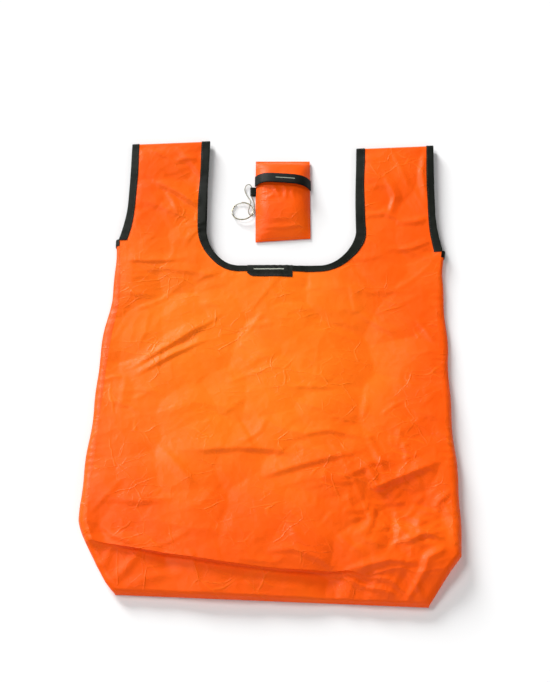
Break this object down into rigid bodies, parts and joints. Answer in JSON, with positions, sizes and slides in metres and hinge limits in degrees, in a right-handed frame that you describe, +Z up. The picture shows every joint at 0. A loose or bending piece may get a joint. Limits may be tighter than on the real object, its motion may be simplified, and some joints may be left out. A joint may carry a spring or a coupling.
{
  "type": "foldable shopping bag",
  "caption": "Foldable nylon carrier bag with two strap handles, taped edges and a boxed base, lying flat with its storage pouch and key ring.",
  "frame": {"origin": "centre of the bag's outline on the surface that it lies on", "axes": "+Z up from the surface, +Y from the base of the bag towards the carrying straps, +X to the right when the front is seen with the straps at the top"},
  "size_m": [0.432, 0.6249, 0.0485],
  "materials": {
    "nylon": "orange ripstop-weight nylon taffeta, satin",
    "binding_tape": "black-green woven polyester tape",
    "woven_label": "dark woven label, bare",
    "cord": "grey braided cord",
    "steel": "nickel plated"
  },
  "bodies": {
    "root": {"front_panel": "nylon", "back_panel": "nylon", "base_panel": "nylon", "left_gusset": "nylon", "right_gusset": "nylon", "left_gusset_tape": "binding_tape", "right_gusset_tape": "binding_tape", "front_neck_tape": "binding_tape", "back_neck_tape": "binding_tape", "neck_label": "woven_label"},
    "left_strap": {"left_strap_front": "nylon", "left_strap_back": "nylon", "left_shoulder_seam": "nylon", "left_strap_neck_tape": "binding_tape", "left_armhole_tape": "binding_tape"},
    "right_strap": {"right_strap_front": "nylon", "right_strap_back": "nylon", "right_shoulder_seam": "nylon", "right_strap_neck_tape": "binding_tape", "right_armhole_tape": "binding_tape"},
    "pouch": {"pouch_back": "nylon", "pouch_front": "nylon", "folded_bag": "nylon"},
    "pouch_flap": {"pouch_flap": "nylon", "flap_tape": "binding_tape"},
    "key_ring": {"side_tab": "binding_tape", "loop_cord": "cord", "split_ring": "steel"}
  },
  "joints": [
    {"name": "left_strap_fold", "type": "hinge", "parent": "root", "child": "left_strap", "pos_m": [-0.145, 0.168, 0.012], "axis": [1, 0, 0], "range_deg": [0, 150]},
    {"name": "right_strap_fold", "type": "hinge", "parent": "root", "child": "right_strap", "pos_m": [0.145, 0.168, 0.012], "axis": [1, 0, 0], "range_deg": [0, 150]},
    {"name": "pouch_lift", "type": "slide", "parent": "root", "child": "pouch", "axis": [0, 0, 1], "range_m": [0, 0.15]},
    {"name": "flap_open", "type": "hinge", "parent": "pouch", "child": "pouch_flap", "pos_m": [0.0064, 0.2885, 0.0012], "axis": [-1, 0, 0], "range_deg": [0, 100]},
    {"name": "key_ring_lift", "type": "hinge", "parent": "pouch", "child": "key_ring", "pos_m": [-0.0279, 0.243, 0.0029], "axis": [0, 1, 0], "range_deg": [0, 90]}
  ]
}
